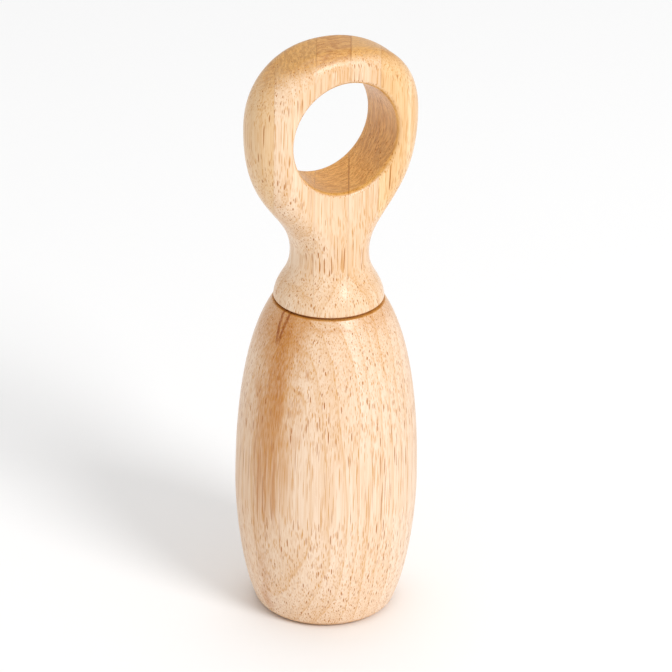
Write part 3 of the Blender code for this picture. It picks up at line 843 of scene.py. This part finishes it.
outerLeft, innerLeft, innerRight, outerRight = handle["gluePlanes"]
cheekFoot = handleFoot + handle["cheekRise"]
staves = {
    "stave_outer_left": dict(high=outerLeft, above=cheekFoot),
    "stave_inner_left": dict(high=innerLeft),
    "stave_centre": dict(low=innerLeft, high=innerRight, below=holeMiddle),
    "stave_crown": dict(low=innerLeft, high=innerRight, above=holeMiddle),
    "stave_inner_right": dict(low=innerRight),
    "stave_outer_right": dict(low=outerRight, above=cheekFoot),
}
rightStripes = [  # place and width in mm, share, colour
    (22.0, 5.0, 0.22, (0.76, 0.38, 0.10)),
    (30.4, 4.6, 0.30, (0.72, 0.35, 0.08)),
    (26.1, 1.4, 0.28, (0.96, 0.74, 0.50)),
    (25.3, 0.35, 0.35, (0.70, 0.33, 0.07)),
    (27.0, 0.4, 0.30, (0.70, 0.33, 0.07)),
]
staveLooks = {
    "stave_outer_left": dict(shift=(0.031, 0.042, 0.01), turn=1.1, endGrain=(0.46, 0.185, 0.03),
                             pale=(0.89, 0.63, 0.37)),
    "stave_inner_left": dict(shift=(-0.043, 0.035, 0.02), turn=2.0, endGrain=(0.50, 0.235, 0.05)),
    "stave_centre": dict(shift=(0.028, -0.051, 0.03), turn=0.2, endGrain=(0.54, 0.23, 0.04)),
    "stave_crown": dict(shift=(0.028, -0.051, 0.03), turn=0.2, endGrain=(0.45, 0.175, 0.025)),
    "stave_inner_right": dict(shift=(0.05, 0.02, -0.02), turn=2.7, endGrain=(0.60, 0.31, 0.09)),
    "stave_outer_right": dict(shift=(-0.033, -0.04, -0.01), turn=0.9,
                              pale=(0.95, 0.68, 0.39), stripes=rightStripes),
}
cheeks = {"stave_inner_left": (-1, outerLeft), "stave_inner_right": (1, outerRight)}
for name, cut in staves.items():
    stave = makeStave(f"{name}_shown", blankPiece.data, **cut)
    if name in cheeks:
        combine(stave, cheekBlock(f"{name}_cut", *cheeks[name]), "DIFFERENCE")
    stave.data.set_sharp_from_angle(angle=math.radians(12))
    planes = zip(handle["gluePlanes"], handle["glueSeen"])
    glueAt = [(at, seen) for at, seen in planes if at in cut.values()]
    finishPiece(stave, woodMaterial(f"{name}_wood", glueAt, **staveLooks[name]),
                "handle", name)
bpy.data.objects.remove(blankPiece)
print("handle: staves parted")

steel = dict(colour=(0.58, 0.58, 0.60), worn=(0.45, 0.45, 0.47), grain=(300, 300, 4000),
             smooth=0.22, rough=0.42, metallic=1.0)
brass = dict(colour=(0.78, 0.57, 0.25), worn=(0.62, 0.43, 0.17), grain=(400, 400, 5000),
             smooth=0.22, rough=0.45, metallic=1.0)
# dark fibre washer; its dark brown is also painted shade, standing for the shadow in the seam gap
# between collar and head
washerAndSeamShade = dict(colour=(0.34, 0.11, 0.02), worn=(0.40, 0.15, 0.04), grain=(3000, 3000, 3000),
             smooth=0.6, rough=0.85, metallic=0.0)
finishPiece(makeBolt(), plainMaterial("zinc_steel", steel), "handle", "hanger_bolt")
finishPiece(makeInsert(), plainMaterial("turned_brass", brass), "head", "threaded_insert")
finishPiece(makeWasher(), plainMaterial("dark_washer_and_seam_shade", washerAndSeamShade), "washer", "seam_washer")
print("hardware: bolt, insert and washer")


# Floor, lights and camera

studio = dict(
    floorColour=(0.97, 0.97, 0.97),
    worldColour=(1.0, 1.0, 1.0),
    worldStrength=0.61,
    keyPower=42.5,
    fillPower=1.0,
    topPower=10.0,
    keyAt=(0.6, -2.2, 1.9),
    fillAt=(-2.0, -1.0, 1.0),
    topAt=(0.2, 0.6, 2.4),
)
view = dict(
    turn=math.radians(-28.1),  # round from the ring's front towards its left side
    rise=math.radians(25.9),
    distance=1.26606,
    side=2.72 * mm,
    aim=101.85 * mm,
    roll=math.radians(0.905),
    lens=197.41,
)


def makeFloor():
    bm = bmesh.new()
    bmesh.ops.create_circle(bm, cap_ends=True, radius=3.0, segments=96)
    floor = newPiece("floor", meshOf(bm, "floor"))
    material = bpy.data.materials.new("floor")
    material.use_nodes = True
    tree = material.node_tree
    shader = tree.nodes["Principled BSDF"]
    place = addNode(tree, "TexCoord").outputs["Object"]
    haze = addNode(tree, "TexNoise", {"Vector": place, "Scale": 3.0, "Detail": 2.0}).outputs[0]
    paler = tuple(min(c + 0.01, 1) for c in studio["floorColour"])
    tree.links.new(blendColour(tree, haze, studio["floorColour"], paler),
                   shader.inputs["Base Color"])
    shader.inputs["Roughness"].default_value = 0.8
    floor.data.materials.append(material)


def makeLight(name, at, size, power):
    light = bpy.data.lights.new(name, "AREA")
    light.shape, light.size, light.energy = "DISK", size, power
    lamp = bpy.data.objects.new(name, light)
    lamp.location = at
    lamp.rotation_euler = (Vector((0, 0, 0.1)) - lamp.location).to_track_quat("-Z", "Y").to_euler()
    bpy.context.scene.collection.objects.link(lamp)


def makeStudio():
    world = bpy.context.scene.world or bpy.data.worlds.new("studio")
    bpy.context.scene.world = world
    world.use_nodes = True
    sky = world.node_tree.nodes["Background"]
    sky.inputs["Color"].default_value = (*studio["worldColour"], 1)
    sky.inputs["Strength"].default_value = studio["worldStrength"]
    makeLight("key", studio["keyAt"], 1.1, studio["keyPower"])
    makeLight("fill", studio["fillAt"], 1.6, studio["fillPower"])
    makeLight("top", studio["topAt"], 1.4, studio["topPower"])
    bpy.context.scene.view_settings.view_transform = "Standard"


def makeCamera():
    right = Vector((math.cos(view["turn"]), math.sin(view["turn"]), 0))
    away = Vector((-math.sin(view["turn"]), math.cos(view["turn"]), 0))
    forward = away * math.cos(view["rise"]) - Vector((0, 0, math.sin(view["rise"])))
    up = right.cross(forward)
    level = Matrix((right, up, -forward)).transposed()
    rolled = level @ Matrix.Rotation(view["roll"], 3, "Z")
    spot = Vector((0, 0, view["aim"])) + right * view["side"] - forward * view["distance"]
    camera = bpy.data.cameras.new("camera")
    camera.lens = view["lens"]
    camera.sensor_width = 36
    camera.clip_start = 0.05
    piece = bpy.data.objects.new("camera", camera)
    piece.matrix_world = Matrix.Translation(spot) @ rolled.to_4x4()
    bpy.context.scene.collection.objects.link(piece)
    bpy.context.scene.camera = piece


makeFloor()
makeStudio()
makeCamera()
print("studio: floor, lights and camera")
